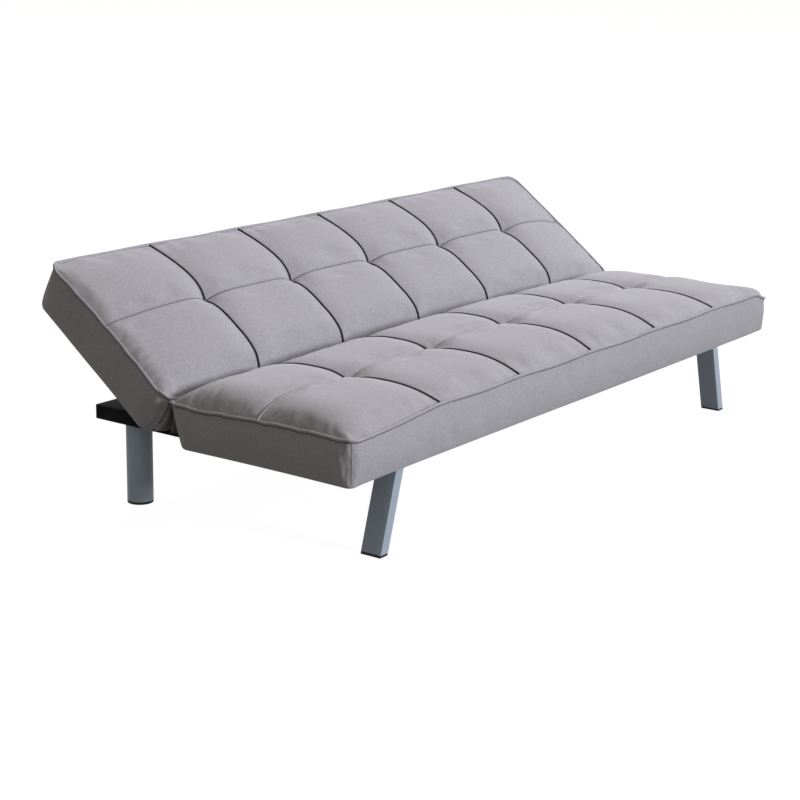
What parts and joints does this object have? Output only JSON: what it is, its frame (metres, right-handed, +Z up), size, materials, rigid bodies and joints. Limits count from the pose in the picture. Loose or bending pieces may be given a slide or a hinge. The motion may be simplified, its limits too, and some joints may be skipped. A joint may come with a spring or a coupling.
{
  "type": "click clack sofa bed",
  "caption": "Armless sofa bed: a tufted seat and a tufted back joined by ratchet hinges, on a dark underframe with splayed front legs and round rear legs.",
  "frame": {"origin": "on the floor, under the middle of the whole sofa's box at rest", "axes": "+X along the sofa towards its right end as seen from the front, +Y from the front to the back, +Z up"},
  "size_m": [1.78, 0.8522, 0.5213],
  "materials": {
    "upholstery_fabric": "fine woven light grey fabric with a soft nap, black cord in the cross seams",
    "gusset_cloth": "dark pleated cloth",
    "dust_cloth": "black non-woven dust cloth",
    "plywood": "bare plywood",
    "pine": "planed softwood",
    "black_timber": "satin black paint over timber",
    "leg_paint": "silver grey powder coat",
    "foot_cap": "matte black plastic",
    "hinge_steel": "plain pressed steel",
    "zinc_steel": "zinc plated steel",
    "rubber": "matte black rubber"
  },
  "bodies": {
    "seat_base": {"seat_cushion": "upholstery_fabric", "seat_deck": "plywood", "seat_front_rail": "pine", "seat_rear_rail": "pine", "seat_left_rail": "pine", "seat_right_rail": "pine", "seat_dust_cover": "dust_cloth", "underframe_front_rail": "black_timber", "underframe_middle_rail": "black_timber", "underframe_rear_rail": "black_timber", "side_beam_left": "black_timber", "side_beam_right": "black_timber", "bumper_left": "rubber", "bumper_right": "rubber", "gusset_left": "gusset_cloth", "gusset_right": "gusset_cloth", "front_leg_left": "leg_paint", "front_leg_right": "leg_paint", "rear_leg_left": "leg_paint", "rear_leg_right": "leg_paint", "front_foot_cap_left": "foot_cap", "front_foot_cap_right": "foot_cap", "rear_foot_cap_left": "foot_cap", "rear_foot_cap_right": "foot_cap", "front_leg_bolt_left_inner": "zinc_steel", "front_leg_bolt_left_outer": "zinc_steel", "front_leg_bolt_right_inner": "zinc_steel", "front_leg_bolt_right_outer": "zinc_steel", "rear_leg_bolt_left": "zinc_steel", "rear_leg_bolt_right": "zinc_steel", "seat_arm_left": "hinge_steel", "seat_arm_right": "hinge_steel", "seat_arm_screw_left_front": "zinc_steel", "seat_arm_screw_left_rear": "zinc_steel", "seat_arm_screw_right_front": "zinc_steel", "seat_arm_screw_right_rear": "zinc_steel", "pivot_bolt_left": "zinc_steel", "pivot_bolt_right": "zinc_steel", "pivot_nut_left": "zinc_steel", "pivot_nut_right": "zinc_steel"},
    "back": {"back_cushion": "upholstery_fabric", "back_deck": "plywood", "back_low_rail": "pine", "back_top_rail": "pine", "back_left_rail": "pine", "back_right_rail": "pine", "back_middle_stile": "pine", "hinge_stile_left": "pine", "hinge_stile_right": "pine", "back_dust_cover": "dust_cloth", "back_arm_left": "hinge_steel", "back_arm_right": "hinge_steel", "back_arm_screw_left_low": "zinc_steel", "back_arm_screw_left_high": "zinc_steel", "back_arm_screw_right_low": "zinc_steel", "back_arm_screw_right_high": "zinc_steel", "pawl_spring_left": "zinc_steel", "pawl_spring_right": "zinc_steel"},
    "left_pawl": {"pawl_left": "hinge_steel"},
    "right_pawl": {"pawl_right": "hinge_steel"}
  },
  "joints": [
    {"name": "back_recline", "type": "hinge", "parent": "seat_base", "child": "back", "pos_m": [0, 0.05388, 0.266], "axis": [1, 0, 0], "range_deg": [-36.5, 45.5], "deforming": ["gusset_left", "gusset_right"]},
    {"name": "pawl_click_left", "type": "hinge", "parent": "back", "child": "left_pawl", "pos_m": [-0.7377, 0.09309, 0.25807], "axis": [1, 0, 0], "range_deg": [-10, 6], "stiffness_Nm_per_rad": 0.5, "deforming": ["pawl_spring_left"]},
    {"name": "pawl_click_right", "type": "hinge", "parent": "back", "child": "right_pawl", "pos_m": [0.7377, 0.09309, 0.25807], "axis": [1, 0, 0], "range_deg": [-10, 6], "stiffness_Nm_per_rad": 0.5, "deforming": ["pawl_spring_right"]}
  ],
  "couplings": [
    {"joint": "pawl_click_right", "follows": "pawl_click_left", "ratio": 1}
  ]
}
